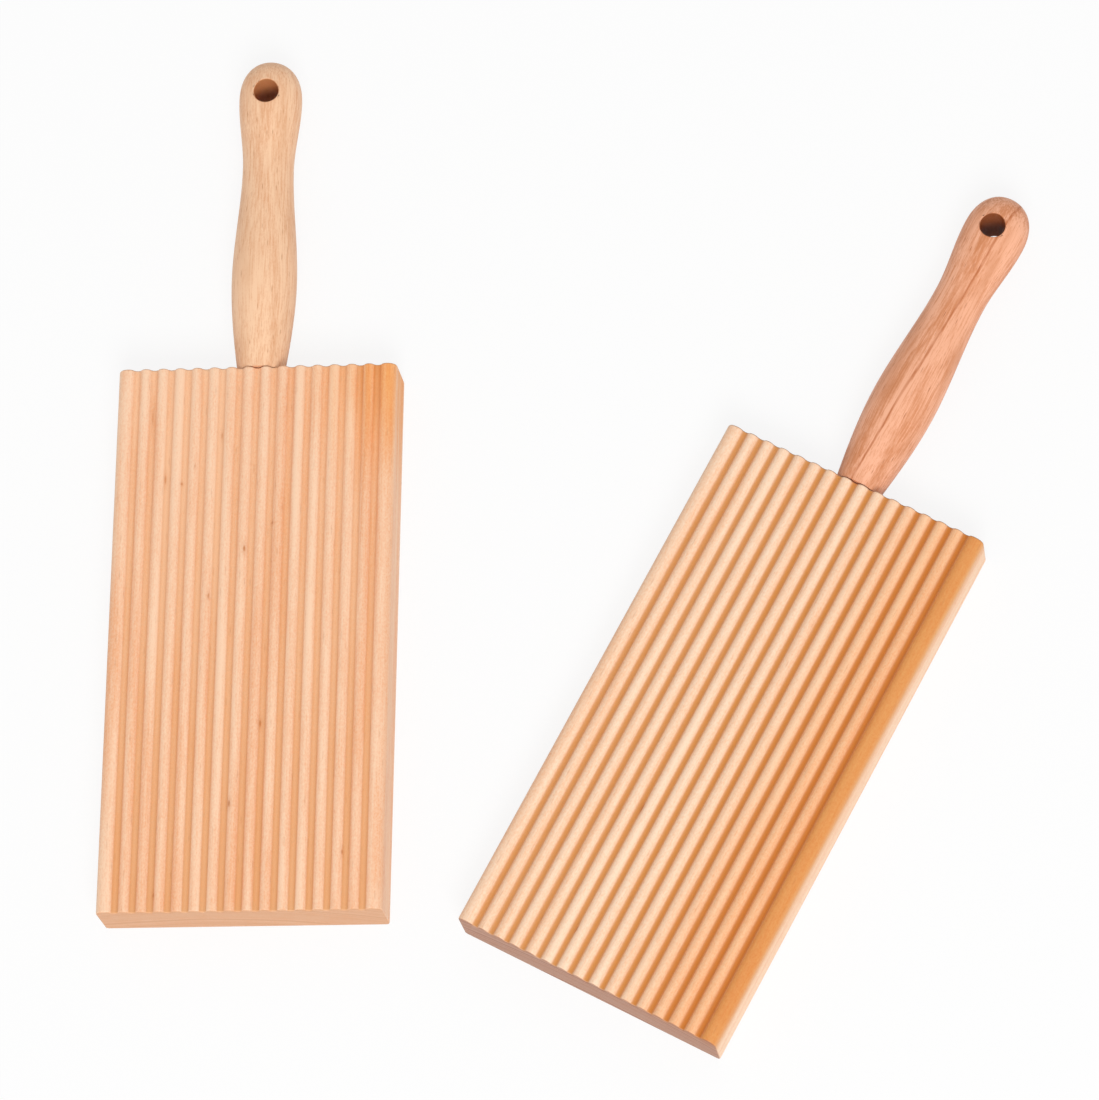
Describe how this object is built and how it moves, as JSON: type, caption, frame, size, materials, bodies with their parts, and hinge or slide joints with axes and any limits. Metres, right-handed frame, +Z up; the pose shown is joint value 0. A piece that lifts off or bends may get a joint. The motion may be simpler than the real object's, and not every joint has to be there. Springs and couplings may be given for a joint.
{
  "type": "pair of ridged wooden paddles",
  "caption": "Pair of flat wooden paddles with lengthwise ridges and turned handles, each with a hanging hole, for rolling and shaping butter or pasta between them.",
  "frame": {"origin": "on the table under the middle of the pair's plan", "axes": "+Z up out of the ridged faces; +Y from the left paddle's board to its handle; +X from the left paddle to the right one"},
  "size_m": [0.3042, 0.3468, 0.0226],
  "materials": {
    "left_board": "bare sanded pale wood",
    "left_handle": "bare turned pale wood",
    "right_board": "bare sanded pale wood",
    "right_handle": "bare turned reddish wood"
  },
  "bodies": {
    "left_paddle": {"left_board": "left_board", "left_handle": "left_handle"},
    "right_paddle": {"right_board": "right_board", "right_handle": "right_handle"}
  },
  "joints": [
    {"name": "right_paddle_lift", "type": "slide", "parent": "left_paddle", "child": "right_paddle", "axis": [0, 0, 1], "range_m": [0, 0.15]}
  ]
}
